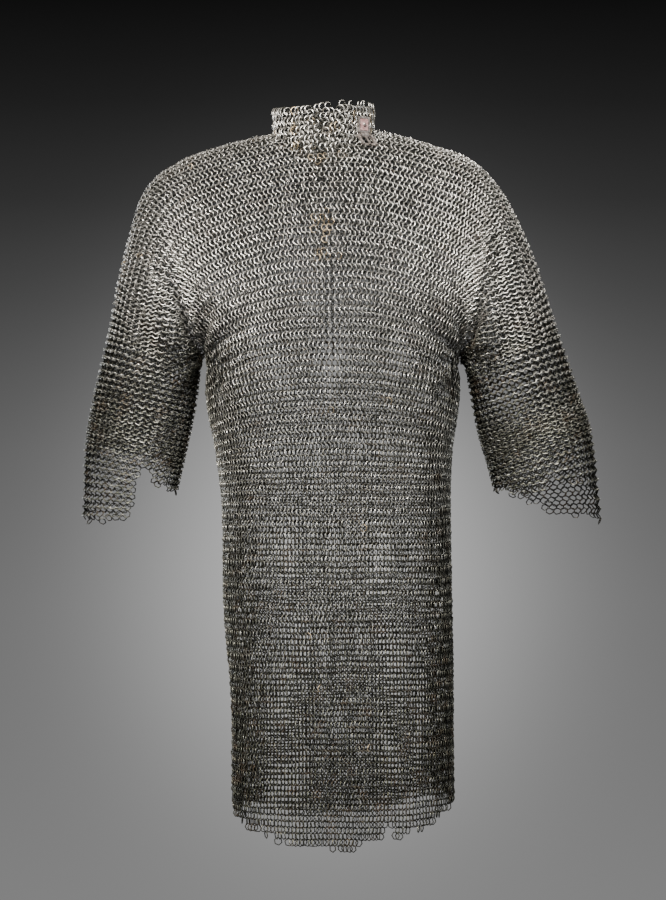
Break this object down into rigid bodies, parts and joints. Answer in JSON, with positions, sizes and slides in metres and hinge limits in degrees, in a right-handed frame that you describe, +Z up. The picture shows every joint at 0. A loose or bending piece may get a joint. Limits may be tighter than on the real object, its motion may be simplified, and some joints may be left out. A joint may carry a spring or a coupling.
{
  "type": "chainmail hauberk",
  "caption": "Short-sleeved shirt of linked iron rings with a standing collar, a throat slit, ragged cuffs and hem, and a small buckle on the collar.",
  "frame": {"origin": "middle of the neck at the foot of the collar, where the shirt is held by the wearer's shoulders", "axes": "+Z up along the standing shirt, the front faces -Y, +X is the viewer's right from the front"},
  "size_m": [0.5982, 0.2159, 0.8399],
  "materials": {
    "ring_iron": "worn, with dark gaps between the rings",
    "collar_iron": "worn",
    "buckle_iron": "worn",
    "buckle_inlay": "matt"
  },
  "bodies": {
    "garment": {"body_front": "ring_iron", "body_back": "ring_iron", "sleeve_left": "ring_iron", "sleeve_right": "ring_iron", "collar": "collar_iron", "buckle_plate": "buckle_iron", "buckle_inlay": "buckle_inlay", "buckle_rivet": "buckle_iron"},
    "frame": {"buckle_frame": "buckle_iron"},
    "tongue": {"buckle_tongue": "buckle_iron"}
  },
  "joints": [
    {"name": "frame_swing", "type": "hinge", "parent": "garment", "child": "frame", "pos_m": [0.04621, -0.04138, 0.00615], "axis": [-0.866, -0.5, 0], "range_deg": [0, 80]},
    {"name": "tongue_lift", "type": "hinge", "parent": "frame", "child": "tongue", "pos_m": [0.04621, -0.04138, 0.00615], "axis": [-0.866, -0.5, 0], "range_deg": [0, 35]}
  ]
}
